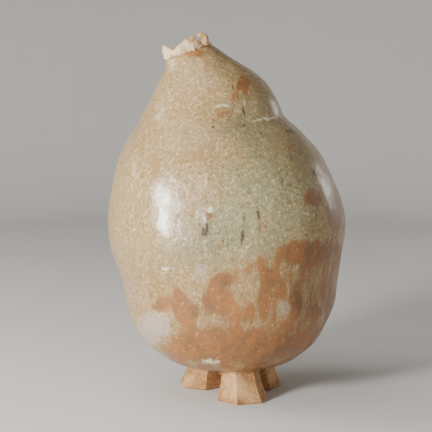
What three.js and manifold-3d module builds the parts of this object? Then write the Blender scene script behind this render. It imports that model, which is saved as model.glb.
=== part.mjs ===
// A hand-built stoneware vase that leans to one side like a pomegranate. Three wall sections are
// luted one on another, a torn clay mouth is pressed on the top, and the pot stands on three
// knife-cut feet. Millimetres, +Z up. The origin is on the table under the belly, and -Y is the front.
import * as THREE from 'three';
import Module from 'manifold-3d';
import { mergeVertices } from 'three/addons/utils/BufferGeometryUtils.js';

const wasm = await Module();
wasm.setup();

// Driving dimensions.
const wall = 8; // thickness of the pot's wall
const slipLine = 0.3; // dried slip left between two luted pieces
const lap = 5; // height of the half lap where two wall sections meet
const bowlTopRing = 6; // the ring at which the bowl ends and the belly begins
const bellyTopRing = 12; // the ring at which the belly ends and the crown begins
const mouthRingHeight = 4.5; // low ring of bare clay on the cut rim
const mouthRingOverhang = 1.2; // how far that ring stands out past the neck
const footSoleBevel = 1.6; // worn edge round each sole
const footBite = 6; // how far a foot's blank runs up past the underside before it is cut to fit
const coilWidth = 4; // luting coil, out from the foot
const coilHeight = 5; // luting coil, down from the pot

// The pot's shape, as rings from the foot to the mouth. Each ring has the ends of its long diameter
// [x, z] as the front view shows them, and how far it reaches towards the front and the back.
const poleCentre = [3, 28];
const rings = [
  { left: [-36, 33], right: [42, 33], front: 38, back: 38 },
  { left: [-66, 42.5], right: [73, 42.5], front: 68, back: 68 },
  { left: [-96, 59], right: [104, 59], front: 96, back: 96 },
  { left: [-108, 78], right: [117, 79], front: 108, back: 107 },
  { left: [-115, 102], right: [123, 101], front: 114, back: 113 },
  { left: [-121.5, 130], right: [126, 129], front: 119, back: 119 },
  { left: [-130, 161], right: [130, 161], front: 124, back: 121 },
  { left: [-134, 195], right: [134, 195], front: 127, back: 123 },
  { left: [-129, 236], right: [124, 236], front: 121, back: 117 },
  { left: [-120.5, 270], right: [107.5, 270], front: 109, back: 106 },
  { left: [-107.5, 295], right: [86, 297], front: 91, back: 91 },
  { left: [-97, 313], right: [66, 315], front: 75, back: 76 },
  { left: [-87, 332], right: [54, 339], front: 64, back: 65 },
  { left: [-77, 351], right: [39.5, 358], front: 53, back: 54 },
  { left: [-69.5, 367], right: [10.5, 378], front: 38, back: 38 },
  { left: [-68, 378.5], right: [-18, 396], front: 25, back: 25 },
];

// Broad swells and hollows that the potter's hands and paddle left: where round the pot and how
// high, how far the wall is pushed out (or in), and how wide and tall the place is.
const swells = [
  { toward: 222, height: 248, push: 4.5, spread: 20, tall: 46 },
  { toward: 238, height: 178, push: 4, spread: 26, tall: 40 },
  { toward: 262, height: 225, push: -4, spread: 20, tall: 60 },
  { toward: 205, height: 128, push: -4, spread: 24, tall: 34 },
  { toward: 300, height: 318, push: -5, spread: 26, tall: 20 },
  { toward: 292, height: 352, push: 3.5, spread: 30, tall: 18 },
  { toward: 318, height: 232, push: 4, spread: 30, tall: 45 },
  { toward: 60, height: 300, push: -4, spread: 28, tall: 26 },
  { toward: 105, height: 215, push: 4, spread: 34, tall: 50 },
  { toward: 140, height: 110, push: -3, spread: 30, tall: 34 },
];

// Feet: where the sole stands, how far the top is set in from it, and the knife cuts that face it,
// each with its direction in degrees and its distance from the foot's centre at the sole.
const feet = [
  {
    name: 'front',
    sole: [18, -43],
    shift: [-4, 9],
    cuts: [[228, 24.5], [286, 24.5], [345, 25], [45, 25], [105, 25], [168, 26]],
  },
  {
    name: 'left',
    sole: [-27, 20],
    shift: [7, -3],
    cuts: [[186, 25], [250, 25], [306, 24], [5, 25], [62, 25], [125, 25]],
  },
  {
    name: 'right',
    sole: [37, 18],
    shift: [-5, -3],
    cuts: [[200, 24], [262, 24], [330, 25], [24, 24], [84, 25], [142, 25]],
  },
];
// How a foot narrows on its way up, as [height, share of the sole's width].
const footTaper = [[0, 1], [5, 0.97], [12, 0.88], [22, 0.79], [32, 0.73], [44, 0.7], [60, 0.72]];

// Torn scraps of clay on the mouth ring: the arc each covers in degrees, its height, how far its
// top leans out, its thickness at the bottom and the top, and the teeth of its torn edge.
const scraps = [
  { name: 'left', from: 150, to: 234, tall: 13, peak: 0.42, lean: 2.5, thick: 7, edge: 4.2, teeth: 3 },
  { name: 'front', from: 240, to: 301, tall: 9.5, peak: 0.72, lean: 3, thick: 7, edge: 4.6, teeth: 4 },
  { name: 'back', from: 52, to: 118, tall: 7, peak: 0.5, lean: 2, thick: 6.5, edge: 4.2, teeth: 5 },
];
const tornDepth = 1.1; // depth of the teeth along a torn edge

// The rolled scrap that stands at the right of the mouth, as the line of its clay roll: along the
// mouth's long diameter, across it towards the back, and up from the mouth ring.
const curlLine = [[21, -13.5, -0.6], [22.6, -14.5, 3.5], [22, -15.5, 7.5], [18.5, -16.5, 9.8], [14.8, -17, 7.4]];
const curlRoll = [4.2, 3.9, 3.5, 3.4, 2.9]; // radius of the roll at each point of that line

// Fineness of the mesh.
const around = 48; // points round the pot
const outerStep = 0.4; // rows of the outer wall, as a share of the way between two rings
const innerStep = 1; // rows of the inner wall
const gap = 1e-3; // step for measuring slopes

// Materials of the fired clay and glaze.
const material = (color, roughness) => new THREE.MeshStandardMaterial({ color, roughness, metalness: 0 });
const ashGlaze = material('#b9a98a', 0.32);
const rustGlaze = material('#a8744c', 0.4);
const bareClay = material('#d9bd94', 0.85);
const footClay = material('#a9794f', 0.8);

// One smooth line through a side of every ring: up one side, through the pole and up the other.
function sectionLine(low, high) {
  const points = [
    ...rings.map(low).reverse(),
    new THREE.Vector3(poleCentre[0], 0, poleCentre[1]),
    ...rings.map(high),
  ];
  return new THREE.CatmullRomCurve3(points, false, 'centripetal');
}
const middle = (ring) => (ring.left[1] + ring.right[1]) / 2;
const frontView = sectionLine(
  (ring) => new THREE.Vector3(ring.left[0], 0, ring.left[1]),
  (ring) => new THREE.Vector3(ring.right[0], 0, ring.right[1]),
);
const sideView = sectionLine(
  (ring) => new THREE.Vector3(0, -ring.front, middle(ring)),
  (ring) => new THREE.Vector3(0, ring.back, middle(ring)),
);
// Points on both sides of a section line, level being the ring's place from 0 at the pole.
function sides(line, level) {
  const share = level / rings.length / 2;
  return [line.getPoint(0.5 - share), line.getPoint(0.5 + share)];
}

// Distance in degrees between two directions, from -180 to 180.
const turnBetween = (a, b) => THREE.MathUtils.euclideanModulo(a - b + 180, 360) - 180;

// The outer surface: an ellipse through the four sides of the ring, pushed out or in by the swells.
function outer(level, angle) {
  const [left, right] = sides(frontView, level);
  const [front, back] = sides(sideView, level);
  const cos = Math.cos(angle);
  const sin = Math.sin(angle);
  const point = new THREE.Vector3(
    (left.x + right.x) / 2 + ((right.x - left.x) / 2) * cos,
    (front.y + back.y) / 2 + ((back.y - front.y) / 2) * sin,
    (left.z + right.z) / 2 + ((right.z - left.z) / 2) * cos,
  );
  const degrees = THREE.MathUtils.radToDeg(angle);
  let push = 0;
  for (const swell of swells) {
    const across = turnBetween(degrees, swell.toward) / swell.spread;
    const up = (point.z - swell.height) / swell.tall;
    push += swell.push * Math.exp(-across * across - up * up);
  }
  return point.add(new THREE.Vector3(cos * push, sin * push, 0));
}

// The mouth: its centre, the direction of its long diameter and the way it opens.
const mouthLevel = rings.length;
const mouthLeft = outer(mouthLevel, Math.PI);
const mouthRight = outer(mouthLevel, 0);
const mouthCentre = mouthLeft.clone().add(mouthRight).multiplyScalar(0.5);
const mouthAlong = mouthRight.clone().sub(mouthLeft).normalize();
const mouthUp = new THREE.Vector3(-mouthAlong.z, 0, mouthAlong.x);

// The way into the clay at a place on the outer surface: square to the wall, and near the mouth
// turning into the plane of the cut rim.
function inward(level, angle) {
  const above = Math.min(level + gap, mouthLevel);
  const up = outer(above, angle).sub(outer(Math.max(level - gap, gap / 2), angle));
  const round = outer(level, angle + gap).sub(outer(level, angle - gap));
  const square = up.cross(round).normalize();
  const toCentre = mouthCentre.clone().sub(outer(level, angle));
  toCentre.addScaledVector(mouthUp, -toCentre.dot(mouthUp)).normalize();
  const share = THREE.MathUtils.smoothstep(level, mouthLevel - 1.2, mouthLevel);
  return square.lerp(toCentre, share).normalize();
}

// A place in the wall: depth 0 is the outer surface and depth wall is the inner one.
function inWall(level, angle, depth) {
  return outer(level, angle).addScaledVector(inward(level, angle), depth);
}
// The same on the axis, under the pole.
const onPole = (depth) => new THREE.Vector3(poleCentre[0], 0, poleCentre[1] + depth);

// A loop of points round the pot.
function loop(count, place) {
  return Array.from({ length: count }, (_, i) => place((i / count) * 2 * Math.PI));
}
const wallLoop = (level, depth) => loop(around, (angle) => inWall(level, angle, depth));

// Levels from one to the other, in equal steps close to the size given.
function levels(from, to, step) {
  const count = Math.max(1, Math.round(Math.abs(to - from) / step));
  return Array.from({ length: count + 1 }, (_, i) => from + ((to - from) * i) / count);
}

// A closed mesh from loops of equal length, each joined to the next. It is closed by a point at
// each end, or by joining the last loop to the first.
function loft(loops, startPoint, endPoint) {
  const count = loops[0].length;
  const points = loops.flat();
  const faces = [];
  const bands = startPoint ? loops.length - 1 : loops.length;
  for (let band = 0; band < bands; band += 1) {
    const here = band * count;
    const there = ((band + 1) % loops.length) * count;
    for (let i = 0; i < count; i += 1) {
      const next = (i + 1) % count;
      faces.push(here + i, here + next, there + next, here + i, there + next, there + i);
    }
  }
  if (startPoint) {
    const last = (loops.length - 1) * count;
    points.push(startPoint, endPoint);
    for (let i = 0; i < count; i += 1) {
      const next = (i + 1) % count;
      faces.push(points.length - 2, next, i, points.length - 1, last + i, last + next);
    }
  }
  // The loops may run either way, so the faces are turned outwards by the sign of the volume.
  let volume = 0;
  for (let i = 0; i < faces.length; i += 3) {
    const [a, b, c] = faces.slice(i, i + 3).map((index) => points[index]);
    volume += a.dot(b.clone().cross(c));
  }
  if (volume < 0) faces.reverse();
  const geometry = new THREE.BufferGeometry().setFromPoints(points);
  geometry.setIndex(faces);
  return geometry;
}

// Boolean work on closed meshes.
function solid(geometry) {
  const clean = geometry.clone();
  clean.deleteAttribute('normal');
  clean.deleteAttribute('uv');
  const merged = mergeVertices(clean, 1e-4);
  const mesh = new wasm.Mesh({
    numProp: 3,
    vertProperties: new Float32Array(merged.attributes.position.array),
    triVerts: new Uint32Array(merged.index.array),
  });
  return new wasm.Manifold(mesh);
}
function geometryOf(body) {
  const mesh = body.getMesh();
  const geometry = new THREE.BufferGeometry();
  geometry.setAttribute('position', new THREE.BufferAttribute(mesh.vertProperties, mesh.numProp));
  geometry.setIndex(new THREE.BufferAttribute(mesh.triVerts, 1));
  return geometry;
}

// Size of one level along the wall, halfway round the front, for turning heights into levels.
function levelSize(level) {
  const front = -Math.PI / 2;
  return outer(level + gap, front).distanceTo(outer(level - gap, front)) / (2 * gap);
}

// The half lap at a seam. The lower section keeps the inner half of the wall as a tongue, and the
// upper one hangs its outer half over it.
const tongueDepth = (wall + slipLine) / 2;
const skirtDepth = (wall - slipLine) / 2;
function tongue(level) {
  const top = level + lap / levelSize(level);
  return [wallLoop(level, tongueDepth), wallLoop(top, tongueDepth)];
}
function skirt(level) {
  const line = slipLine / levelSize(level);
  const step = lap / levelSize(level);
  return [wallLoop(level + step + line, skirtDepth), wallLoop(level + line, skirtDepth)];
}
const tongueTop = (level) => level + lap / levelSize(level);
const skirtFoot = (level) => level + slipLine / levelSize(level);
const skirtRoot = (level) => level + (lap + slipLine) / levelSize(level);

// A wall section from one seam to the next. The bowl has no seam below, and the crown none above.
function wallSection(from, to) {
  const closed = from === 0;
  const open = to === mouthLevel;
  const outside = levels(closed ? outerStep : skirtFoot(from), to, outerStep);
  const inside = levels(open ? to : tongueTop(to), closed ? innerStep : skirtRoot(from), innerStep);
  const loops = [
    ...outside.map((level) => wallLoop(level, 0)),
    ...(open ? [] : tongue(to)),
    ...inside.map((level) => wallLoop(level, wall)),
    ...(closed ? [] : skirt(from)),
  ];
  return closed ? loft(loops, onPole(0), onPole(wall)) : loft(loops);
}

// A place on the mouth: out from the rim's outer edge, and up from the plane of the rim.
function onMouth(angle, out, up) {
  return outer(mouthLevel, angle)
    .addScaledVector(inward(mouthLevel, angle), -out)
    .addScaledVector(mouthUp, up);
}

// The low ring of bare clay, rounded outside and flush with the bore inside.
function mouthRing() {
  const foot = slipLine;
  const top = slipLine + mouthRingHeight;
  const section = [
    [-wall, foot],
    [0, foot],
    [mouthRingOverhang, foot + mouthRingHeight * 0.35],
    [mouthRingOverhang * 0.8, foot + mouthRingHeight * 0.8],
    [-0.6, top],
    [-wall + 0.6, top],
    [-wall, top - 0.8],
  ];
  return loft(section.map(([out, up]) => loop(around, (angle) => onMouth(angle, out, up))));
}

// A torn scrap: a leaf-shaped section carried round part of the mouth ring. It rises to its peak,
// falls away to both ends, and its torn edge has teeth of uneven size.
function scrapShape({ from, to, tall, peak, lean, thick, edge, teeth }) {
  const seat = mouthRingHeight + 2 * slipLine;
  const rows = 14;
  const section = [[0, 0], [0, 0.45], [0.12, 0.8], [0.35, 1], [0.7, 1], [0.9, 0.8], [1, 0.45], [1, 0]];
  const loops = Array.from({ length: rows }, (_, row) => {
    const share = row / (rows - 1);
    const angle = THREE.MathUtils.degToRad(from + (to - from) * share);
    const rise = share < peak ? share / peak : (1 - share) / (1 - peak);
    const tear = Math.sin(share * teeth * 2 * Math.PI) + 0.6 * Math.sin(share * teeth * 5.1 * Math.PI + 1);
    const height = 2.2 + (tall - 2.2) * Math.sin((rise * Math.PI) / 2) + tornDepth * tear * rise;
    return section.map(([across, up]) => {
      const width = THREE.MathUtils.lerp(thick, edge, up);
      const middleOut = THREE.MathUtils.lerp(-thick / 2 - 0.6, lean - edge / 2, up * rise);
      return onMouth(angle, middleOut + width * (0.5 - across), seat + height * up);
    });
  });
  const centre = (points) => points.reduce((sum, p) => sum.add(p), new THREE.Vector3()).divideScalar(points.length);
  return loft(loops, centre(loops[0]), centre(loops[rows - 1]));
}

// The rolled scrap: a round roll of clay bent over like a hook, cut flat where it sits on the ring.
function curlShape() {
  const seat = mouthRingHeight + 2 * slipLine;
  const line = new THREE.CatmullRomCurve3(
    curlLine.map(([along, across, up]) =>
      mouthCentre
        .clone()
        .addScaledVector(mouthAlong, along)
        .add(new THREE.Vector3(0, across, 0))
        .addScaledVector(mouthUp, seat + up)),
  );
  const rows = 12;
  const sidesOfRoll = 10;
  const frames = line.computeFrenetFrames(rows - 1);
  const loops = Array.from({ length: rows }, (_, row) => {
    const share = row / (rows - 1);
    const place = share * (curlRoll.length - 1);
    const before = Math.min(Math.floor(place), curlRoll.length - 2);
    const radius = THREE.MathUtils.lerp(curlRoll[before], curlRoll[before + 1], place - before);
    return loop(sidesOfRoll, (angle) =>
      line
        .getPointAt(share)
        .addScaledVector(frames.normals[row], radius * Math.cos(angle))
        .addScaledVector(frames.binormals[row], radius * Math.sin(angle)));
  });
  const roll = loft(loops, line.getPointAt(0), line.getPointAt(1));
  const below = new THREE.BoxGeometry(40, 40, 20);
  below.applyMatrix4(new THREE.Matrix4().makeBasis(mouthAlong, new THREE.Vector3(0, 1, 0), mouthUp));
  const middleOfBox = mouthRight.clone().addScaledVector(mouthUp, seat - 10);
  below.translate(middleOfBox.x, middleOfBox.y, middleOfBox.z);
  return geometryOf(solid(roll).subtract(solid(below)));
}

// Corners of a foot's plan, where each knife cut meets the next. Grown moves every cut out.
function footPlan(cuts, grown) {
  return cuts.map(([angle, reach], i) => {
    const [nextAngle, nextReach] = cuts[(i + 1) % cuts.length];
    const a = THREE.MathUtils.degToRad(angle);
    const b = THREE.MathUtils.degToRad(nextAngle);
    const turn = Math.sin(b - a);
    return new THREE.Vector2(
      ((reach + grown) * Math.sin(b) - (nextReach + grown) * Math.sin(a)) / turn,
      ((nextReach + grown) * Math.cos(a) - (reach + grown) * Math.cos(b)) / turn,
    );
  });
}

// Height of the pot's underside over a place on the table, found by walking out from the pole.
function undersideAt(x, y) {
  const angle = Math.atan2(y, x - poleCentre[0]);
  const reach = Math.hypot(x - poleCentre[0], y);
  let level = 0.1;
  while (Math.hypot(outer(level, angle).x - poleCentre[0], outer(level, angle).y) < reach) level += 0.05;
  return outer(level, angle).z;
}

// A foot's blank, taller than it needs, leaning in from its sole and narrowing to its neck.
function footBlank({ sole, shift, cuts }, grown = 0) {
  const top = undersideAt(sole[0], sole[1]) + footBite + coilHeight;
  const heights = [...footTaper.filter(([height]) => height < top - 4).map(([height]) => height), top];
  const share = (height) => {
    const after = footTaper.findIndex(([h]) => h > height);
    const [h0, s0] = footTaper[after - 1];
    const [h1, s1] = footTaper[after];
    return THREE.MathUtils.mapLinear(height, h0, h1, s0, s1);
  };
  const ringAt = (height, width) =>
    footPlan(cuts, 0).map((corner, i) => {
      const grownCorner = footPlan(cuts, grown)[i].sub(corner);
      const lean = Math.min(height / top, 1);
      return new THREE.Vector3(
        sole[0] + shift[0] * lean + corner.x * width + grownCorner.x,
        sole[1] + shift[1] * lean + corner.y * width + grownCorner.y,
        height,
      );
    });
  const bevelShare = 1 - footSoleBevel / cuts[0][1];
  const loops = [
    ringAt(0, bevelShare),
    ...heights.map((height) => (height === 0 ? ringAt(footSoleBevel, 1) : ringAt(height, share(height)))),
  ];
  const centreOf = (ring) => ring.reduce((sum, p) => sum.add(p), new THREE.Vector3()).divideScalar(ring.length);
  return loft(loops, centreOf(loops[0]), centreOf(loops[loops.length - 1]));
}

// The pot's outside from the pole to the bowl's top, as a solid grown by an amount.
function grownBowl(grown) {
  const loops = levels(outerStep, bowlTopRing, outerStep).map((level) => wallLoop(level, -grown));
  const top = loops[loops.length - 1];
  const lid = top.reduce((sum, p) => sum.add(p), new THREE.Vector3()).divideScalar(top.length);
  return solid(loft(loops, onPole(-grown), lid));
}

// A foot, cut at the top to the curve of the underside.
function footShape(foot) {
  return geometryOf(solid(footBlank(foot)).subtract(grownBowl(slipLine)));
}

// The luting coil pressed into the corner between foot and pot, in two steps of a round bead.
function coilShape(foot) {
  const low = grownBowl(slipLine + coilHeight).intersect(solid(footBlank(foot, coilWidth * 0.55)));
  const high = grownBowl(slipLine + coilHeight * 0.5).intersect(solid(footBlank(foot, coilWidth)));
  return geometryOf(low.add(high).subtract(grownBowl(slipLine)).subtract(solid(footBlank(foot, slipLine))));
}

function piece(name, geometry, finish) {
  const mesh = new THREE.Mesh(geometry, finish);
  mesh.name = name;
  mesh.geometry.computeVertexNormals();
  return mesh;
}

const vase = new THREE.Group();
vase.add(
  piece('wall_bowl', wallSection(0, bowlTopRing), rustGlaze),
  piece('wall_belly', wallSection(bowlTopRing, bellyTopRing), ashGlaze),
  piece('wall_crown', wallSection(bellyTopRing, mouthLevel), ashGlaze),
  piece('mouth_ring', mouthRing(), bareClay),
  ...scraps.map((scrap) => piece(`torn_scrap_${scrap.name}`, scrapShape(scrap), bareClay)),
  piece('rolled_scrap', curlShape(), bareClay),
  ...feet.map((foot) => piece(`foot_${foot.name}`, footShape(foot), footClay)),
  ...feet.map((foot) => piece(`luting_coil_${foot.name}`, coilShape(foot), footClay)),
);

export default vase;
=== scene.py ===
import math

import bpy
import numpy as np
from bpy.props import FloatProperty, FloatVectorProperty, PointerProperty
from bpy.types import Operator, Panel, PropertyGroup
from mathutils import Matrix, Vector


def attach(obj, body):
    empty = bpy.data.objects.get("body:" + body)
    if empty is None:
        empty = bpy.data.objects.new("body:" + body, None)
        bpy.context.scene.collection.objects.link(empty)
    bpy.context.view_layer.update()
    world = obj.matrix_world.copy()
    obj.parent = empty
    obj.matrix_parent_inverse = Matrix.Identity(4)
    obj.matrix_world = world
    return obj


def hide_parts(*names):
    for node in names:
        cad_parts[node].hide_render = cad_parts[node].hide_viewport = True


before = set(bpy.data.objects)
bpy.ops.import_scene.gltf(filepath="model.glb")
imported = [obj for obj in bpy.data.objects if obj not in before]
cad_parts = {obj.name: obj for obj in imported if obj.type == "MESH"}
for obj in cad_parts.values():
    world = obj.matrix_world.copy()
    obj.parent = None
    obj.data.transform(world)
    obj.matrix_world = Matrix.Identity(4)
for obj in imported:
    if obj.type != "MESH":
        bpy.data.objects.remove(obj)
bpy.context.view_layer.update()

# A hand-built stoneware vase that leans to one side, under a wood-ash glaze that breaks to rust.
# All shapes are worked out in millimetres and put into their meshes in metres.

bl_info = {
    "name": "Leaning stoneware vase",
    "version": (1, 0, 0),
    "blender": (4, 5, 0),
    "location": "3D View > Sidebar > Vase",
    "description": "Builds a leaning hand-built stoneware vase with a torn clay mouth",
    "category": "Object",
}

MM = 0.001

# The pot's rings from the foot to the mouth, in millimetres: left end x and z, right end x and z,
# and how far the ring reaches to the front and to the back.
RINGS = np.array([
    (-37, 31.5, 43, 31.5, 38, 38),
    (-67, 40, 74, 40, 68, 68),
    (-92, 58, 99, 58, 92, 92),
    (-106, 78, 113.5, 79, 105, 104),
    (-115, 102, 123, 101, 114, 113),
    (-121.5, 130, 126, 129, 119, 119),
    (-130, 161, 130, 161, 124, 121),
    (-134, 195, 134, 195, 127, 123),
    (-129, 236, 124, 236, 121, 117),
    (-120.5, 270, 107.5, 270, 109, 106),
    (-107.5, 295, 86, 297, 91, 91),
    (-97, 313, 66, 315, 75, 76),
    (-87, 332, 54, 339, 64, 65),
    (-77, 351, 39.5, 358, 53, 54),
    (-69.5, 367, 10.5, 378, 38, 38),
    (-68, 378.5, -18, 396, 25, 25),
])
POLE = np.array((3.0, 28.0))
MOUTH = len(RINGS)

# Swells and hollows of the wall: direction in degrees, height, push, spread in degrees, height spread.
SWELLS = (
    (222, 248, 4.5, 20, 46),
    (238, 178, 4, 26, 40),
    (262, 225, -4, 20, 60),
    (205, 128, -4, 24, 34),
    (300, 318, -5, 26, 20),
    (292, 352, 3.5, 30, 18),
    (318, 232, 4, 30, 45),
    (60, 300, -4, 28, 26),
    (105, 215, 4, 34, 50),
    (140, 110, -3, 30, 34),
)

# Where the photograph was taken from, and the point it looks at, in millimetres.
VIEWPOINT = np.array((-11.9, -1616.9, 437.8))
LOOKS_AT = np.array((-11.9, 0.0, 201.9))
LENS_MM = 120.0
SENSOR_MM = 36.0


# Colours and soft noise.

def linear(hex_colour):
    """A linear colour from an sRGB hex value."""
    channels = [int(hex_colour[i:i + 2], 16) / 255 for i in (1, 3, 5)]
    return tuple(c / 12.92 if c <= 0.04045 else ((c + 0.055) / 1.055) ** 2.4 for c in channels) + (1.0,)


def lattice(cells, seed):
    """A repeatable random number from 0 to 1 for each cell of a whole-number lattice [n, 3]."""
    mixed = cells[..., 0] * 374761393 + cells[..., 1] * 668265263 + cells[..., 2] * 2147483647
    mixed = (mixed + seed * 144665) & 0xFFFFFFFF
    mixed = ((mixed ^ (mixed >> 13)) * 1274126177) & 0xFFFFFFFF
    return ((mixed ^ (mixed >> 16)) & 0xFFFF) / 65535.0


def noise(points, size, seed=0):
    """Soft noise from -1 to 1: random numbers on a lattice of that size, blended with a smooth step."""
    place = np.asarray(points) / size
    cell = np.floor(place).astype(np.int64)
    part = place - cell
    part = part * part * (3 - 2 * part)
    total = np.zeros(place.shape[:-1])
    for dx in (0, 1):
        for dy in (0, 1):
            for dz in (0, 1):
                corner = cell + np.array((dx, dy, dz))
                weight = (
                    (part[..., 0] if dx else 1 - part[..., 0])
                    * (part[..., 1] if dy else 1 - part[..., 1])
                    * (part[..., 2] if dz else 1 - part[..., 2])
                )
                total += weight * lattice(corner, seed)
    return total * 2 - 1


def smooth_step(low, high, value):
    """0 below low, 1 above high, and a smooth rise between."""
    share = np.clip((value - low) / (high - low), 0, 1)
    return share * share * (3 - 2 * share)


# The shape of the pot.

def line_through(points, index):
    """A centripetal Catmull-Rom line through the points, at fractional indices."""
    last = len(points) - 1
    first = points[0] * 2 - points[1]
    after = points[last] * 2 - points[last - 1]
    padded = np.vstack((first, points, after))
    start = np.clip(np.floor(index).astype(int), 0, last - 1)
    share = (index - start)[..., None]
    p0, p1, p2, p3 = (padded[start + i] for i in range(4))
    step = lambda a, b: np.maximum(np.sum((a - b) ** 2, -1, keepdims=True) ** 0.25, 1e-4)
    d0, d1, d2 = step(p0, p1), step(p1, p2), step(p2, p3)
    t1 = ((p1 - p0) / d0 - (p2 - p0) / (d0 + d1) + (p2 - p1) / d1) * d1
    t2 = ((p2 - p1) / d1 - (p3 - p1) / (d1 + d2) + (p3 - p2) / d2) * d1
    c2 = -3 * p1 + 3 * p2 - 2 * t1 - t2
    c3 = 2 * p1 - 2 * p2 + t1 + t2
    return p1 + t1 * share + c2 * share ** 2 + c3 * share ** 3


def section(low, high, pole):
    """The points of a section line: down one side of the rings, through the pole and up the other."""
    return np.vstack((low[::-1], [pole], high))


FRONT_VIEW = section(RINGS[:, 0:2], RINGS[:, 2:4], POLE)
MIDDLE_Z = (RINGS[:, 1] + RINGS[:, 3]) / 2
SIDE_VIEW = section(
    np.column_stack((-RINGS[:, 4], MIDDLE_Z)),
    np.column_stack((RINGS[:, 5], MIDDLE_Z)),
    (0.0, POLE[1]),
)


def outer(level, angle):
    """The outer surface: an ellipse through the four sides of the ring, pushed by the swells."""
    level, angle = np.broadcast_arrays(level, angle)
    left = line_through(FRONT_VIEW, MOUTH - level)
    right = line_through(FRONT_VIEW, MOUTH + level)
    front = line_through(SIDE_VIEW, MOUTH - level)
    back = line_through(SIDE_VIEW, MOUTH + level)
    cos, sin = np.cos(angle), np.sin(angle)
    x = (left[..., 0] + right[..., 0]) / 2 + (right[..., 0] - left[..., 0]) / 2 * cos
    y = (front[..., 0] + back[..., 0]) / 2 + (back[..., 0] - front[..., 0]) / 2 * sin
    z = (left[..., 1] + right[..., 1]) / 2 + (right[..., 1] - left[..., 1]) / 2 * cos
    push = np.zeros_like(x)
    for toward, height, amount, spread, tall in SWELLS:
        across = (np.mod(np.degrees(angle) - toward + 180, 360) - 180) / spread
        push = push + amount * np.exp(-across ** 2 - ((z - height) / tall) ** 2)
    return np.stack((x + cos * push, y + sin * push, z), -1)


def unit(vectors):
    """The vectors at length one."""
    return vectors / np.maximum(np.linalg.norm(vectors, axis=-1, keepdims=True), 1e-9)


MOUTH_LEFT = outer(float(MOUTH), math.pi)
MOUTH_RIGHT = outer(float(MOUTH), 0.0)
MOUTH_CENTRE = (MOUTH_LEFT + MOUTH_RIGHT) / 2
MOUTH_ALONG = unit(MOUTH_RIGHT - MOUTH_LEFT)
MOUTH_UP = np.array((-MOUTH_ALONG[2], 0.0, MOUTH_ALONG[0]))


def inward(level, angle):
    """The way into the clay: square to the wall, turning into the plane of the cut rim at the mouth."""
    small = 1e-3
    level, angle = np.broadcast_arrays(np.asarray(level, float), angle)
    up = outer(np.minimum(level + small, MOUTH), angle) - outer(np.maximum(level - small, small / 2), angle)
    around = outer(level, angle + small) - outer(level, angle - small)
    square = unit(np.cross(up, around))
    to_centre = MOUTH_CENTRE - outer(level, angle)
    to_centre = unit(to_centre - (to_centre @ MOUTH_UP)[..., None] * MOUTH_UP)
    share = smooth_step(MOUTH - 1.2, MOUTH, level)[..., None]
    return unit(square * (1 - share) + to_centre * share)


def on_mouth(angle, out, up):
    """A place on the mouth: out from the rim's outer edge, and up from the plane of the rim."""
    rim = outer(float(MOUTH), angle)
    out, up = np.asarray(out)[..., None], np.asarray(up)[..., None]
    return rim - inward(float(MOUTH), angle) * out + MOUTH_UP * up


def seen_from_front(points):
    """Where each point appears, in millimetres across and up on the upright plane through the axis, to
    someone who stands at the viewpoint: the line from the viewpoint through the point meets y = 0 there."""
    ray = points - VIEWPOINT
    reach = -VIEWPOINT[1] / ray[..., 1]
    hit = VIEWPOINT + ray * reach[..., None]
    return hit[..., 0], hit[..., 2]


# Meshes.

def add_mesh(name, points, quads, triangles, material, fields=None):
    """A smooth mesh object at the origin from points in millimetres. The sum of the products of each
    face's first three corners has the sign of the volume, and says whether the faces turn outwards.
    Any named fields are kept as point attributes."""
    faces = np.vstack((quads[:, :3], triangles))
    first, second, third = (points[faces[:, corner]] for corner in range(3))
    if np.sum(first * np.cross(second, third)) < 0:
        quads, triangles = quads[:, ::-1], triangles[:, ::-1]
    mesh = bpy.data.meshes.new(name)
    mesh.from_pydata((points * MM).tolist(), [], quads.tolist() + triangles.tolist())
    mesh.polygons.foreach_set("use_smooth", np.ones(len(mesh.polygons), bool))
    for field, values in (fields or {}).items():
        layer = mesh.attributes.new(field, "FLOAT", "POINT")
        layer.data.foreach_set("value", np.ascontiguousarray(values, dtype=np.float32).ravel())
    mesh.materials.append(material)
    mesh.update()
    piece = bpy.data.objects.new(name, mesh)
    bpy.context.scene.collection.objects.link(piece)
    return piece


def skin(rows, columns, closed_rows):
    """Faces of a grid whose columns run round, row after row, and round the rows too if they close."""
    row = np.arange(rows if closed_rows else rows - 1)
    column = np.arange(columns)
    here, across = np.meshgrid(row, column, indexing="ij")
    above, beside = (here + 1) % rows, (across + 1) % columns
    return np.stack((
        here * columns + across,
        here * columns + beside,
        above * columns + beside,
        above * columns + across,
    ), -1).reshape(-1, 4)


# For a closed ring, which has no ends to close.
NO_TRIANGLES = np.zeros((0, 3), int)


def first_lid(columns, point):
    """A fan of triangles that closes the first row of a grid to a point."""
    column = np.arange(columns)
    return np.stack(((column + 1) % columns, column, np.full(columns, point)), -1)


def lids(rows, columns):
    """Fans that close the first and the last row to the two points that follow the grid's own."""
    count = rows * columns
    last_row = np.arange(count - columns, count)
    beside = np.roll(last_row, -1)
    return np.vstack((
        first_lid(columns, count),
        np.stack((last_row, beside, np.full(columns, count + 1)), -1),
    ))


def dress(piece, nodes):
    """The piece rides on the pot and stands for those nodes, which it hides."""
    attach(piece, "root")
    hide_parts(*nodes)
    return piece


# Materials.

def add_node(tree, kind, settings=None, inputs=None):
    """A node with its settings, and inputs that are values or other nodes' sockets."""
    node = tree.nodes.new(kind)
    for key, value in (settings or {}).items():
        setattr(node, key, value)
    for key, value in (inputs or {}).items():
        if isinstance(value, bpy.types.NodeSocket):
            tree.links.new(value, node.inputs[key])
        else:
            node.inputs[key].default_value = value
    return node


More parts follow.
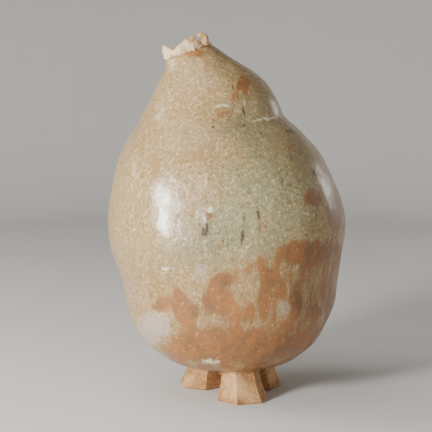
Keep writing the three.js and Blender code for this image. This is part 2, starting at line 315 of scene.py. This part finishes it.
def new_material(name):
    """An empty material, its node tree and its shader."""
    material = bpy.data.materials.new(name)
    material.use_nodes = True
    tree = material.node_tree
    tree.nodes.clear()
    shader = add_node(tree, "ShaderNodeBsdfPrincipled")
    output = add_node(tree, "ShaderNodeOutputMaterial")
    tree.links.new(shader.outputs["BSDF"], output.inputs["Surface"])
    return material, tree, shader


def speckle(tree, place, size_mm, detail=3.0, roughness=0.55):
    """Noise of a real grain size in millimetres, from 0 to 1."""
    return add_node(tree, "ShaderNodeTexNoise", None, {
        "Vector": place, "Scale": 1000.0 / size_mm, "Detail": detail, "Roughness": roughness,
    }).outputs["Fac"]


def sums(tree, *terms):
    """The sum of sockets, each times its weight."""
    total = None
    for socket, weight in terms:
        scaled = add_node(tree, "ShaderNodeMath", {"operation": "MULTIPLY_ADD"}, {0: socket, 1: weight})
        if total is not None:
            tree.links.new(total, scaled.inputs[2])
        else:
            scaled.inputs[2].default_value = 0.0
        total = scaled.outputs[0]
    return total


def step_between(tree, value, low, high):
    """0 below low and 1 above high, with a smooth rise."""
    return add_node(tree, "ShaderNodeMapRange", {"interpolation_type": "SMOOTHSTEP"}, {
        "Value": value, "From Min": low, "From Max": high,
    }).outputs["Result"]


def blend(tree, share, first, second):
    """One colour over another by a share."""
    node = add_node(tree, "ShaderNodeMix", {"data_type": "RGBA"})
    for index, value in ((0, share), (6, first), (7, second)):
        if isinstance(value, bpy.types.NodeSocket):
            tree.links.new(value, node.inputs[index])
        else:
            node.inputs[index].default_value = value
    return node.outputs[2]


def ash_glazed_stoneware(colours):
    """Stoneware under wood-ash glaze: a satin skin with orange peel, beige to celadon where it is
    thick, rust and orange where it is thin, milky where it pooled."""
    material, tree, shader = new_material("ash-glazed stoneware")
    place = add_node(tree, "ShaderNodeTexCoord").outputs["Object"]
    field = lambda name: add_node(tree, "ShaderNodeAttribute", {"attribute_name": name}).outputs["Fac"]
    broad = speckle(tree, place, 46, 4)
    drawn_down = {"Vector": place, "Scale": (1.0, 1.0, 0.32)}
    flowing = add_node(tree, "ShaderNodeMapping", None, drawn_down).outputs[0]
    patchy = speckle(tree, flowing, 12, 6, 0.66)
    grain = speckle(tree, place, 4.2, 3, 0.6)
    fine = speckle(tree, place, 1.7, 2, 0.6)
    green = step_between(tree, sums(tree, (field("celadon"), 1.0), (broad, 0.8), (patchy, 0.9)), 0.95, 1.4)
    colour = blend(tree, green, tuple(colours.beige), tuple(colours.celadon))
    # Tan runs, drawn out downwards, where the ash carried iron with it.
    runs = step_between(tree, sums(tree, (patchy, 1.0), (broad, 0.5), (grain, 0.25)), 0.84, 1.08)
    colour = blend(tree, sums(tree, (runs, 0.6)), colour, tuple(colours.tan))
    # Fine pale and brown grains of ash and iron in the skin.
    pale_grain = step_between(tree, sums(tree, (grain, 0.6), (fine, 0.6)), 0.6, 0.78)
    colour = blend(tree, sums(tree, (pale_grain, 0.6)), colour, tuple(colours.straw))
    dark_grain = step_between(tree, sums(tree, (grain, 0.55), (fine, 0.65), (patchy, 0.3)), 0.74, 0.56)
    colour = blend(tree, sums(tree, (dark_grain, 0.6)), colour, tuple(colours.umber))
    # Milky pooled glaze.
    milky = step_between(tree, sums(tree, (field("milky"), 0.8), (patchy, 1.1), (grain, 0.6)), 1.05, 1.55)
    milk = blend(tree, broad, tuple(colours.lilac), tuple(colours.mist))
    colour = blend(tree, sums(tree, (milky, 0.62)), colour, milk)
    # Thin glaze over iron-bearing clay.
    thin = step_between(tree, sums(tree, (field("rust"), 0.8), (patchy, 1.5), (grain, 0.5)), 1.28, 1.52)
    hot = step_between(tree, sums(tree, (patchy, 0.7), (grain, 0.5), (broad, 0.3)), 0.6, 0.92)
    rust = blend(tree, hot, tuple(colours.brown), tuple(colours.orange))
    broken = add_node(tree, "ShaderNodeMath", {"operation": "MULTIPLY"}, {
        0: thin, 1: step_between(tree, sums(tree, (grain, 0.6), (fine, 0.5)), 0.3, 0.62),
    }).outputs[0]
    colour = blend(tree, sums(tree, (broken, 0.5), (thin, 0.4)), colour, rust)
    # Runs of dark slag, and their cream edges, which also carry painted glints: a painted highlight on the
    # drips.
    dark = step_between(tree, sums(tree, (field("slag"), 0.8), (grain, 1.1), (fine, 0.6)), 1.1, 1.4)
    colour = blend(tree, sums(tree, (dark, 0.85)), colour, tuple(colours.slag))
    # The cream is partly the runs' own cream edges and partly painted glints, a painted highlight.
    cream_and_glint = step_between(tree, sums(tree, (field("cream_and_glint"), 0.8), (grain, 1.1), (fine, 0.6)), 1.0, 1.3)
    colour = blend(tree, sums(tree, (cream_and_glint, 0.85)), colour, tuple(colours.cream_and_glint))
    gloss = sums(tree, (thin, 0.14), (grain, 0.16), (milky, -0.06))
    gloss = add_node(tree, "ShaderNodeMath", {"operation": "ADD"}, {0: gloss, 1: 0.22}).outputs[0]
    # Orange peel of about 3.5 mm with a finer grain over it.
    peel = speckle(tree, place, 3.6, 2, 0.5)
    relief = sums(tree, (peel, 1.0), (fine, 0.3), (patchy, 0.6))
    bump = add_node(tree, "ShaderNodeBump", None, {"Strength": 0.55, "Distance": 0.0006, "Height": relief})
    for socket, value in (("Base Color", colour), ("Roughness", gloss), ("Normal", bump.outputs["Normal"])):
        tree.links.new(value, shader.inputs[socket])
    shader.inputs["IOR"].default_value = 1.52
    shader.inputs["Coat Weight"].default_value = 0.25
    shader.inputs["Coat Roughness"].default_value = 0.18
    return material


def bare_clay(name, light, dark, blush, speck, blush_share):
    """Unglazed grogged stoneware: matt and granular, with brown iron specks, a dry ash blush, and painted
    shade that makes it darker in the hollows of its relief.
    """
    material, tree, shader = new_material(name)
    place = add_node(tree, "ShaderNodeTexCoord").outputs["Object"]
    broad = speckle(tree, place, 22, 4)
    grain = speckle(tree, place, 3.0, 4, 0.65)
    fine = speckle(tree, place, 1.1, 2, 0.6)
    # Painted shade: the tone follows the same noise as the relief below, so the dark colour lies in its
    # hollows.
    tone = step_between(tree, sums(tree, (broad, 0.7), (grain, 0.5)), 0.42, 0.78)
    colour = blend(tree, tone, tuple(dark), tuple(light))
    dusted = step_between(tree, sums(tree, (broad, 0.8), (fine, 0.3)), 0.62 - blush_share * 0.3, 0.8)
    colour = blend(tree, sums(tree, (dusted, blush_share)), colour, tuple(blush))
    specks = step_between(tree, sums(tree, (grain, 0.5), (fine, 0.6)), 0.46, 0.38)
    colour = blend(tree, sums(tree, (specks, 0.55)), colour, tuple(speck))
    relief = sums(tree, (grain, 1.0), (fine, 0.6), (broad, 0.8))
    bump = add_node(tree, "ShaderNodeBump", None, {"Strength": 0.8, "Distance": 0.0011, "Height": relief})
    tree.links.new(colour, shader.inputs["Base Color"])
    tree.links.new(bump.outputs["Normal"], shader.inputs["Normal"])
    shader.inputs["Roughness"].default_value = 0.82
    shader.inputs["IOR"].default_value = 1.5
    return material


def sweep_paper():
    """Matt pale backdrop paper: even, with no gloss."""
    material, tree, shader = new_material("pale backdrop paper")
    place = add_node(tree, "ShaderNodeTexCoord").outputs["Object"]
    tone = blend(tree, speckle(tree, place, 300, 2), linear("#cfccc6"), linear("#d6d3ce"))
    tree.links.new(tone, shader.inputs["Base Color"])
    shader.inputs["Roughness"].default_value = 0.9
    return material


# The photograph on the upright plane through the axis, in millimetres: where its left edge is, and how
# much a pixel covers across and up. The plane is seen from a little above, so a pixel covers more
# upwards. The row of pixels in the middle of the photograph is at the point that the camera looks at.
PHOTO_LEFT = -257.0
PHOTO_MIDDLE_ROW = 216
PIXEL_WIDTH = 1.1347
PIXEL_HEIGHT = 1.147


def from_photo(x, y):
    """The place of a pixel of the photograph on the upright plane through the axis, to a millimetre:
    across = left edge + x * pixel width, and up = middle + (middle row - y) * pixel height."""
    across = PHOTO_LEFT + x * PIXEL_WIDTH
    up = LOOKS_AT[2] + (PHOTO_MIDDLE_ROW - y) * PIXEL_HEIGHT
    return np.round(across), np.round(up)


# Places on the glaze as soft spots in the photograph, in pixels: x and y of the middle, half width and
# half height, then the lean in degrees and the strength. A strength below zero takes away. The back
# half goes by broad noise alone.
RUST_SPOTS = (
    (193, 55, 13, 5, -14, 1),
    (206, 70, 4, 10, 0, 0.5),
    (243, 85, 6, 11, 10, 0.8),
    (222, 115, 10, 6, 0, 0.55),
    (235, 95, 4, 12, -20, 0.5),
    (314, 198, 12, 11, 0, 0.85),
    (336, 212, 10, 27, 0, 0.9),
    (209, 213, 4, 8, 0, 0.95),
    (282, 210, 3, 26, 0, 0.35),
    (303, 251, 28, 12, 0, 0.35),
    (223, 280, 11, 7, 0, 0.5),
    (216, 301, 14, 13, 0, 0.35),
    (269, 278, 8, 9, 0, 0.4),
    (263, 303, 5, 16, 0, 0.35),
    (297, 306, 7, 14, 0, 0.4),
    (316, 312, 5, 5, 0, 0.4),
    (157, 306, 8, 9, 0, 0.6),
    (178, 304, 6, 16, 0, 0.45),
    (194, 313, 6, 7, 0, 0.45),
    (246, 291, 14, 16, 0, -0.55),
    (201, 273, 9, 14, 0, -0.5),
    (285, 308, 9, 11, 0, -0.35),
    (165, 285, 13, 12, 0, -0.3),
    (235, 347, 75, 14, 0, 0.35),
    (152, 330, 22, 22, 40, -0.7),
)
MILKY_SPOTS = (
    (152, 330, 24, 17, 40, 1),
    (201, 273, 8, 13, 0, 0.7),
    (285, 308, 9, 11, 0, 0.6),
    (220, 321, 22, 6, -18, 0.5),
    (131, 289, 6, 16, 0, 0.45),
)
CELADON_SPOTS = (
    (262, 200, 65, 60, 0, 0.55),
    (250, 115, 50, 30, 0, 0.3),
    (175, 190, 30, 50, 0, -0.2),
    (140, 170, 20, 45, 0, -0.25),
    (190, 240, 50, 40, 0, 0.3),
)
SLAG_SPOTS = (
    (205, 230, 4, 9, -12, 0.9),
    (244, 217, 2, 6, 0, 0.6),
    (242, 237, 2.3, 10, -6, 0.85),
    (258, 213, 2, 10, 14, 0.7),
    (260, 229, 2, 6, 0, 0.6),
    (314, 172, 2.2, 4, 0, 0.75),
    (213, 128, 1.6, 1.6, 0, 0.95),
    (244, 126, 1.5, 1.5, 0, 0.9),
    (261, 134, 1.4, 1.4, 0, 0.9),
    (290, 132, 8, 2.5, -12, 0.6),
    (243, 112, 1.4, 8, 16, 0.7),
    (238, 99, 1.4, 6, 14, 0.6),
    (233, 89, 1.4, 5, 16, 0.6),
    (219, 233, 1.6, 1.6, 0, 0.9),
    (223, 241, 1.6, 1.8, 0, 0.9),
    (228, 245, 1.6, 1.6, 0, 0.9),
    (291, 158, 1.2, 5, 0, 0.6),
    (282, 182, 1, 7, 14, 0.7),
    (282, 211, 0.9, 24, 0, 0.5),
)
# Cream edges of the runs, and small painted glints that are a painted highlight on the raised drips.
CREAM_AND_GLINT_SPOTS = (
    (210, 210, 3, 3.5, 0, 0.9),
    (222, 107, 8, 2, 0, 0.6),
    (167, 269, 8, 2.4, 0, 0.5),
    (268, 119, 19, 2.4, 8, 0.5),
    (210, 364, 13, 3, 0, 0.5),
)

# The line below which the glaze thins to rust, from left to right, in pixels of the photograph.
THIN_EDGE = np.array((
    (108, 300), (130, 322), (151, 312), (163, 296), (173, 287), (190, 297), (199, 300), (209, 283),
    (219, 273), (246, 268), (254, 259), (274, 256), (279, 246), (296, 241), (330, 241), (345, 246),
))


def spots(table, across, up):
    """The sum of soft spots in the front view, each a turned bell shape: its strength times
    exp(-(along^2 + aside^2)^1.5), with both distances counted in the spot's half width and height."""
    total = np.zeros_like(across)
    for x, y, wide, tall, lean, strength in table:
        middle_across, middle_up = from_photo(x, y)
        half_width = round(wide * PIXEL_WIDTH, 1)
        half_height = round(tall * PIXEL_HEIGHT, 1)
        turn = math.radians(lean)
        dx, dz = across - middle_across, up - middle_up
        along = (dx * math.cos(turn) + dz * math.sin(turn)) / half_width
        aside = (dz * math.cos(turn) - dx * math.sin(turn)) / half_height
        total += strength * np.exp(-(along ** 2 + aside ** 2) ** 1.5)
    return total


# How far before and behind the axis, in millimetres, what is seen in the photograph gives way to noise.
FRONT_FADE = 15
# The share of rust below the thin edge, and from where above it to where below it that comes in.
THIN_SHARE, THIN_ABOVE, THIN_BELOW = 0.55, -14, 8


def glaze_fields(points):
    """How thin, green, milky and dark the glaze is at each point, and how much cream edge and painted glint
    it has, from about 0 to 1.
    """
    across, up = seen_from_front(points)
    front = smooth_step(FRONT_FADE, -FRONT_FADE, points[..., 1])
    back = 1 - front
    z = points[..., 2]
    broad = noise(points, 60, 11)
    low = smooth_step(150, 60, z)
    below = np.interp(across, *from_photo(THIN_EDGE[:, 0], THIN_EDGE[:, 1])) - up
    thin = THIN_SHARE * smooth_step(THIN_ABOVE, THIN_BELOW, below)
    return {
        "rust": front * (thin + spots(RUST_SPOTS, across, up)) + back * (low * 0.6 + broad * 0.35),
        "celadon": front * spots(CELADON_SPOTS, across, up) + back * (0.2 - broad * 0.3),
        "milky": front * spots(MILKY_SPOTS, across, up) + back * (low * 0.25 - broad * 0.3),
        "slag": front * spots(SLAG_SPOTS, across, up),
        "cream_and_glint": front * spots(CREAM_AND_GLINT_SPOTS, across, up),
    }


# The hand and paddle marks: size and height in millimetres, and seed of the noise.
HAND_MARKS = ((42, 1.1, 1), (17, 0.5, 2), (7, 0.2, 3))
# The crease under the crown's right side: how high it runs at CREASE_ACROSS, its slope, half height
# and depth.
CREASE_UP, CREASE_ACROSS, CREASE_SLOPE, CREASE_HALF_HEIGHT, CREASE_DEPTH = 315, 60, 0.02, 7, 0.8
# Raised glaze, seen from the front. Long runs: across, from and to up, half width and thickness.
LONG_RUNS = ((-88, 110, 152, 3.2, 1.5), (-99, 116, 150, 2.6, 1.2), (-105, 245, 295, 7, 1.6))
# Drips: across, up, half width and thickness.
DRIPS = ((-22, 192, 4, 1.0), (18, 193, 2.5, 0.8), (33, 195, 2.5, 0.7))
DRIP_HALF_LENGTH = 14


def relief(points):
    """How far the surface stands out in millimetres: hand and paddle marks at three sizes, a crease
    under the crown's right side, and runs of thick glaze down the left."""
    across, up = seen_from_front(points)
    front = smooth_step(FRONT_FADE, -FRONT_FADE, points[..., 1])
    height = sum(tall * noise(points, size, seed) for size, tall, seed in HAND_MARKS)
    crease_line = CREASE_UP - CREASE_SLOPE * (CREASE_ACROSS - across)
    crease = np.exp(-((up - crease_line) / CREASE_HALF_HEIGHT) ** 2) * smooth_step(0, 45, across)
    height = height - CREASE_DEPTH * crease * front
    for x, low, high, wide, tall in LONG_RUNS:
        ends = smooth_step(low - 8, low + 4, up) * smooth_step(high + 8, high - 4, up)
        height = height + tall * np.exp(-((across - x) / wide) ** 2) * ends * front
    for x, z, wide, tall in DRIPS:
        drip = np.exp(-((across - x) / wide) ** 2 - ((up - z) / DRIP_HALF_LENGTH) ** 2)
        height = height + tall * drip * front
    return height


# Sizes and colours.

class VaseSettings(PropertyGroup):
    """Sizes of the vase, and the strength and colour of its lights."""
    wall: FloatProperty(name="Wall", description="Thickness of the wall", default=8.0 * MM, unit="LENGTH")
    relief_share: FloatProperty(
        name="Hand marks", description="Share of the hand and paddle marks", default=1.0, subtype="FACTOR")
    ring_height: FloatProperty(
        name="Mouth ring", description="Height of the bare clay ring", default=4.5 * MM, unit="LENGTH")
    slip_line: FloatProperty(
        name="Slip line", description="Dried slip between luted pieces", default=0.3 * MM, unit="LENGTH")
    floor_size: FloatProperty(
        name="Floor", description="Half width of the floor", default=3.0, unit="LENGTH")
    key_power: FloatProperty(
        name="Key light", description="Power of the large soft light", default=42.0, unit="POWER")
    fill_power: FloatProperty(
        name="Fill light", description="Power of the light from above", default=12.0, unit="POWER")
    room_light: FloatVectorProperty(
        name="Room light", description="Colour of the light from all round", default=(0.8, 0.82, 0.85),
        subtype="COLOR", size=3)


def colour_setting(name, description, hex_colour):
    """A colour property whose default is that sRGB hex value made linear."""
    return FloatVectorProperty(
        name=name, description=description, default=linear(hex_colour),
        subtype="COLOR", size=4, min=0, max=1)


class VaseColours(PropertyGroup):
    """Colours of the glaze and of the bare clay."""
    beige: colour_setting("Beige glaze", "Ash glaze of middling thickness", "#a48759")
    celadon: colour_setting("Celadon glaze", "Ash glaze where it lies thick", "#8f8b68")
    straw: colour_setting("Straw grain", "Pale grains of ash in the skin", "#d3c096")
    tan: colour_setting("Tan runs", "Runs where the ash carried iron down", "#94703f")
    umber: colour_setting("Umber grain", "Brown grains of iron in the skin", "#5f452b")
    lilac: colour_setting("Lilac milk", "Pooled glaze, warm", "#bfa698")
    mist: colour_setting("Mist milk", "Pooled glaze, cool", "#a9aa9c")
    orange: colour_setting("Orange clay", "Thin glaze over clay, hot", "#a1622c")
    brown: colour_setting("Brown clay", "Thin glaze over clay, dark", "#6a4322")
    slag: colour_setting("Slag", "Dark slag runs and pits", "#40291a")
    # Cream of the runs' edges, also the colour of the painted glints, a painted highlight.
    cream_and_glint: colour_setting("Cream", "Cream edges of the runs", "#e4d8b6")
    pale_light: colour_setting("Pale clay, light", "Torn clay at the mouth", "#ecd6ac")
    # Painted shade for the hollows of the torn clay.
    pale_clay_hollow_shade: colour_setting("Pale clay, dark", "Torn clay in its hollows", "#b48550")
    pale_blush: colour_setting("Pale clay, ash", "Dry ash on the torn clay", "#f6e9cd")
    foot_light: colour_setting("Foot clay, light", "Knife-cut clay of the feet", "#c99a62")
    # Painted shade for the hollows of the foot clay.
    foot_clay_hollow_shade: colour_setting("Foot clay, dark", "Foot clay in its hollows", "#8f5f36")
    foot_blush: colour_setting("Foot clay, ash", "Dry ash on the feet", "#d8b48c")
    speck: colour_setting("Iron specks", "Iron specks in the bare clay", "#5d3b22")


class VASE_OT_glazed_pot(Operator):
    """Build the glazed pot, one skin over its three luted wall sections"""
    bl_idname = "vase.glazed_pot"
    bl_label = "Glazed pot"

    def execute(self, context):
        settings = context.scene.vase
        columns, outer_rows, inner_rows = 384, 236, 20
        # Where the first outer row starts, as a share of the wall's length, where the inner skin ends,
        # and how many levels below the rim the marks fade out.
        first_row, inner_end, fade_levels = 0.004, 0.12, 0.6
        angle = np.linspace(0, 2 * math.pi, columns, endpoint=False)[None, :]
        # Rows are spaced evenly along the wall, by the length of the front section line.
        fine = np.linspace(0, MOUTH, 2000)
        line = outer(fine, np.full_like(fine, -math.pi / 2))
        length = np.concatenate(([0], np.cumsum(np.linalg.norm(np.diff(line, axis=0), axis=1))))
        steps = np.linspace(length[-1] * first_row, length[-1], outer_rows)
        level = np.interp(steps, length, fine)[:, None]
        wall = settings.wall / MM
        out = outer(level, angle)
        into = inward(level, angle)
        fade = smooth_step(MOUTH, MOUTH - fade_levels, level)
        outside = out - into * (relief(out) * fade * settings.relief_share)[..., None]
        inner_level = np.linspace(MOUTH, inner_end, inner_rows)[:, None]
        inside = outer(inner_level, angle) + inward(inner_level, angle) * wall
        rows = np.concatenate((outside, inside))
        count = len(rows)
        poles = [(POLE[0], 0, POLE[1]), (POLE[0], 0, POLE[1] + wall)]
        points = np.vstack((rows.reshape(-1, 3), poles))
        glaze = ash_glazed_stoneware(context.scene.vase_colours)
        quads, triangles = skin(count, columns, False), lids(count, columns)
        pot = add_mesh("glazed_pot", points, quads, triangles, glaze, glaze_fields(points))
        dress(pot, ("wall_bowl", "wall_belly", "wall_crown"))
        return {"FINISHED"}


class VASE_OT_mouth_ring(Operator):
    """Build the low ring of bare clay on the rim"""
    bl_idname = "vase.mouth_ring"
    bl_label = "Mouth ring"

    def execute(self, context):
        settings = context.scene.vase
        wall, high = settings.wall / MM, settings.ring_height / MM
        around, across = 220, 28
        angle = np.linspace(0, 2 * math.pi, around, endpoint=False)[:, None]
        turn = np.linspace(0, 2 * math.pi, across, endpoint=False)[None, :]
        # A rounded bar: a squared circle from the bore to a little past the neck, lower at the right.
        cos, sin = np.cos(turn), np.sin(turn)
        squared = (np.abs(cos) ** 4 + np.abs(sin) ** 4) ** -0.25
        shift, past_wall, sink = 0.3, 0.6, 0.3
        out = -wall / 2 + shift + (wall / 2 + past_wall) * cos * squared
        low_right = 1 - 0.45 * smooth_step(0.2, 1, np.cos(angle))
        up = settings.slip_line / MM + high / 2 * (1 + sin * squared) * low_right - sink
        points = on_mouth(angle + 0 * turn, out + 0 * angle, up + 0 * angle)
        centre = on_mouth(angle + 0 * turn, 0 * (turn + angle) - wall / 2, 0 * (turn + angle) + high / 2)
        rough = 0.6 * noise(points, 6, 21) + 0.45 * noise(points, 2.5, 22)
        points = points + unit(points - centre) * rough[..., None]
        quads = skin(around, across, True)
        ring = add_mesh("mouth_ring_clay", points.reshape(-1, 3), quads, NO_TRIANGLES, pale_clay())
        dress(ring, ("mouth_ring",))
        return {"FINISHED"}


# Torn scraps: name, arc in degrees, height over the ring, where along the arc it is tallest from and
# to, lean, thickness below and above, and teeth.
SCRAPS = (
    ("left", 148, 236, 10.5, 0.36, 0.46, -1.0, 8.0, 5.0, 3),
    ("front", 238, 303, 9.6, 0.62, 0.92, 2.0, 8.5, 6.0, 4),
    ("back", 52, 118, 6.5, 0.4, 0.6, 1.0, 7.5, 4.6, 5),
)


def pale_clay():
    """Torn porcelain-pale clay, porous and matt."""
    name, colours = "torn pale clay", bpy.context.scene.vase_colours
    found = bpy.data.materials.get(name)
    return found or bare_clay(
        name, colours.pale_light, colours.pale_clay_hollow_shade, colours.pale_blush, colours.speck, 0.5)


def foot_clay():
    """Knife-cut tan stoneware, grogged, with a dry ash blush."""
    name, colours = "knife-cut tan stoneware", bpy.context.scene.vase_colours
    found = bpy.data.materials.get(name)
    return found or bare_clay(
        name, colours.foot_light, colours.foot_clay_hollow_shade, colours.foot_blush, colours.speck, 0.45)


class VASE_OT_torn_scraps(Operator):
    """Build the torn scraps of clay that stand on the mouth ring"""
    bl_idname = "vase.torn_scraps"
    bl_label = "Torn scraps"

    def execute(self, context):
        settings = context.scene.vase
        seat = settings.ring_height / MM + 2 * settings.slip_line / MM
        around, across = 90, 40
        for name, start, end, tall, tall_from, tall_to, lean, thick, edge, teeth in SCRAPS:
            share = np.linspace(0, 1, around)[:, None]
            angle = np.radians(start + (end - start) * share)
            rise = np.minimum(share / tall_from, (1 - share) / (1 - tall_to)).clip(0, 1)
            tear = np.sin(share * teeth * 2 * math.pi) + 0.6 * np.sin(share * teeth * 5.1 * math.pi + 1)
            # The scrap hangs over the ring, down to the glaze, and rises to its torn edge.
            height = seat + 1.5 + (tall - 1.5) * np.sin(rise * math.pi / 2) + 0.7 * tear * rise
            turn = np.linspace(0, 2 * math.pi, across, endpoint=False)[None, :]
            cos, sin = np.cos(turn), np.sin(turn)
            squared = (np.abs(cos) ** 3 + np.abs(sin) ** 3) ** (-1 / 3)
            climb = (sin * squared + 1) / 2
            width = thick + (edge - thick) * climb
            middle = 1.7 - thick / 2 + (lean - edge / 2 + thick / 2 - 1.7) * climb * rise
            hem = -0.6 + 0.5 * np.sin(share * 31) + 0.4 * np.sin(share * 57)
            out = middle + width / 2 * cos * squared
            points = on_mouth(angle + 0 * turn, out, hem + (height - hem) * climb)
            core = on_mouth(angle + 0 * turn, middle, height / 2 + 0 * climb)
            rough = 0.75 * noise(points, 5, 31) + 0.6 * noise(points, 2.2, 32)
            points = points + unit(points - core) * rough[..., None]
            ends = np.array((points[0].mean(0), points[-1].mean(0)))
            quads, triangles = skin(around, across, False), lids(around, across)
            points = np.vstack((points.reshape(-1, 3), ends))
            scrap = add_mesh(f"torn_clay_{name}", points, quads, triangles, pale_clay())
            dress(scrap, (f"torn_scrap_{name}",))
        return {"FINISHED"}


# The rolled scrap's line: along the mouth, across it, up from the ring, and the roll's radius.
CURL = np.array((
    (20, -13.5, -4.5, 4.8),
    (21.8, -14.5, 1.0, 4.8),
    (22, -15.5, 4.6, 4.4),
    (19.6, -16.5, 6.8, 4.0),
    (17, -17, 4.6, 3.5),
))


class VASE_OT_rolled_scrap(Operator):
    """Build the rolled scrap of clay that is bent over like a hook"""
    bl_idname = "vase.rolled_scrap"
    bl_label = "Rolled scrap"

    def execute(self, context):
        settings = context.scene.vase
        seat = settings.ring_height / MM + 2 * settings.slip_line / MM
        rows, across = 70, 36
        line = line_through(CURL, np.linspace(0, len(CURL) - 1, rows))
        centre = (
            MOUTH_CENTRE
            + line[:, 0:1] * MOUTH_ALONG
            + line[:, 1:2] * np.array((0.0, 1.0, 0.0))
            + (line[:, 2:3] + seat) * MOUTH_UP
        )
        ahead = unit(np.gradient(centre, axis=0))
        side = unit(np.cross(ahead, np.array((0.0, 1.0, 0.0))))
        upright = np.cross(side, ahead)
        turn = np.linspace(0, 2 * math.pi, across, endpoint=False)
        # The roll is round, and closes to a blunt tip at both ends.
        share = np.linspace(0, 1, rows)
        tip = np.sqrt(np.clip(1 - ((share - 0.5) * 2) ** 10, 0, 1)) * 0.9 + 0.1
        radius = (line[:, 3] * tip)[:, None, None]
        way = side[:, None] * np.cos(turn)[None, :, None] + upright[:, None] * np.sin(turn)[None, :, None]
        points = centre[:, None] + way * radius
        rough = 0.4 * noise(points, 4.5, 41) + 0.35 * noise(points, 2, 42)
        points = points + way * rough[..., None]
        quads, triangles = skin(rows, across, False), lids(rows, across)
        points = np.vstack((points.reshape(-1, 3), centre[[0, -1]]))
        curl = add_mesh("rolled_clay", points, quads, triangles, pale_clay())
        dress(curl, ("rolled_scrap",))
        return {"FINISHED"}


class VASE_OT_feet(Operator):
    """Give the knife-cut feet and their luting coils their fired clay"""
    bl_idname = "vase.feet"
    bl_label = "Feet"

    def execute(self, context):
        for name in ("front", "left", "right"):
            for node in (f"foot_{name}", f"luting_coil_{name}"):
                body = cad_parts[node]
                body.data.materials.clear()
                body.data.materials.append(foot_clay())
        return {"FINISHED"}


# The stage: the middle of the pot in metres, the side and rim lights' shares of the fill, the strength
# of the light from all round, and where the paper starts to rise and how far, as shares of its reach.
POT_MIDDLE = (0.0, 0.0, 0.2)
SIDE_SHARE, RIM_SHARE = 0.6, 0.25
ROOM_STRENGTH = 0.2
SWEEP_START, SWEEP_RISE = 0.45, 0.75


def aim(place, target):
    """The turn that points a lamp or a camera from its place to the target."""
    return (Vector(target) - Vector(place)).to_track_quat("-Z", "Y").to_euler()


class VASE_OT_stage(Operator):
    """Set up the pale floor, the soft lights and the camera"""
    bl_idname = "vase.stage"
    bl_label = "Stage"

    def execute(self, context):
        settings = context.scene.vase
        half = settings.floor_size / MM
        # A round sheet that is flat in the middle and rises in a smooth bowl at its edge.
        columns, count = 96, 60
        turn = np.linspace(0, 2 * math.pi, columns, endpoint=False)[None, :]
        reach = np.linspace(0.02, 1, count)[:, None]
        rise = half * SWEEP_RISE * smooth_step(SWEEP_START, 1.0, reach) * reach + 0 * turn
        rows = np.stack((half * reach * np.cos(turn), half * reach * np.sin(turn), rise), -1)
        points = np.vstack((rows.reshape(-1, 3), np.zeros((1, 3))))
        centre = first_lid(columns, count * columns)
        floor = add_mesh("floor", points, skin(count, columns, False), centre, sweep_paper())
        for name, place, size, power in (
            ("key light", (-1.0, -1.1, 0.52), 0.3, settings.key_power),
            ("side light", (-1.35, 0.15, 0.75), 0.5, settings.fill_power * SIDE_SHARE),
            ("top light", (-0.7, -0.2, 1.9), 1.4, settings.fill_power),
            ("rim light", (1.3, 0.9, 0.5), 0.5, settings.fill_power * RIM_SHARE),
        ):
            lamp = bpy.data.lights.new(name, "AREA")
            lamp.size = size
            lamp.energy = power
            source = bpy.data.objects.new(name, lamp)
            source.location = place
            source.rotation_euler = aim(place, POT_MIDDLE)
            context.scene.collection.objects.link(source)
        world = bpy.data.worlds.new("studio")
        world.use_nodes = True
        sky = world.node_tree.nodes["Background"]
        sky.inputs["Color"].default_value = (*settings.room_light, 1.0)
        sky.inputs["Strength"].default_value = ROOM_STRENGTH
        context.scene.world = world
        camera = bpy.data.objects.new("camera", bpy.data.cameras.new("camera"))
        camera.data.lens = LENS_MM
        camera.data.sensor_width = SENSOR_MM
        camera.location = Vector(VIEWPOINT * MM)
        camera.rotation_euler = aim(VIEWPOINT, LOOKS_AT)
        context.scene.collection.objects.link(camera)
        context.scene.camera = camera
        return {"FINISHED"}


STEPS = (
    VASE_OT_glazed_pot,
    VASE_OT_mouth_ring,
    VASE_OT_torn_scraps,
    VASE_OT_rolled_scrap,
    VASE_OT_feet,
    VASE_OT_stage,
)


class VASE_PT_sidebar(Panel):
    """The vase's sizes and its building steps"""
    bl_idname = "VASE_PT_sidebar"
    bl_label = "Leaning stoneware vase"
    bl_space_type = "VIEW_3D"
    bl_region_type = "UI"
    bl_category = "Vase"

    def draw(self, context):
        column = self.layout.column()
        for name in VaseSettings.__annotations__:
            column.prop(context.scene.vase, name)
        for name in VaseColours.__annotations__:
            column.prop(context.scene.vase_colours, name)
        for step in STEPS:
            column.operator(step.bl_idname)


CLASSES = (VaseSettings, VaseColours, *STEPS, VASE_PT_sidebar)


def register():
    for cls in CLASSES:
        bpy.utils.register_class(cls)
    bpy.types.Scene.vase = PointerProperty(type=VaseSettings)
    bpy.types.Scene.vase_colours = PointerProperty(type=VaseColours)


def unregister():
    del bpy.types.Scene.vase_colours
    del bpy.types.Scene.vase
    for cls in reversed(CLASSES):
        bpy.utils.unregister_class(cls)


def main():
    register()
    bpy.ops.vase.glazed_pot()
    bpy.ops.vase.mouth_ring()
    bpy.ops.vase.torn_scraps()
    bpy.ops.vase.rolled_scrap()
    bpy.ops.vase.feet()
    bpy.ops.vase.stage()
    bpy.context.view_layer.update()


if __name__ == "__main__":
    main()
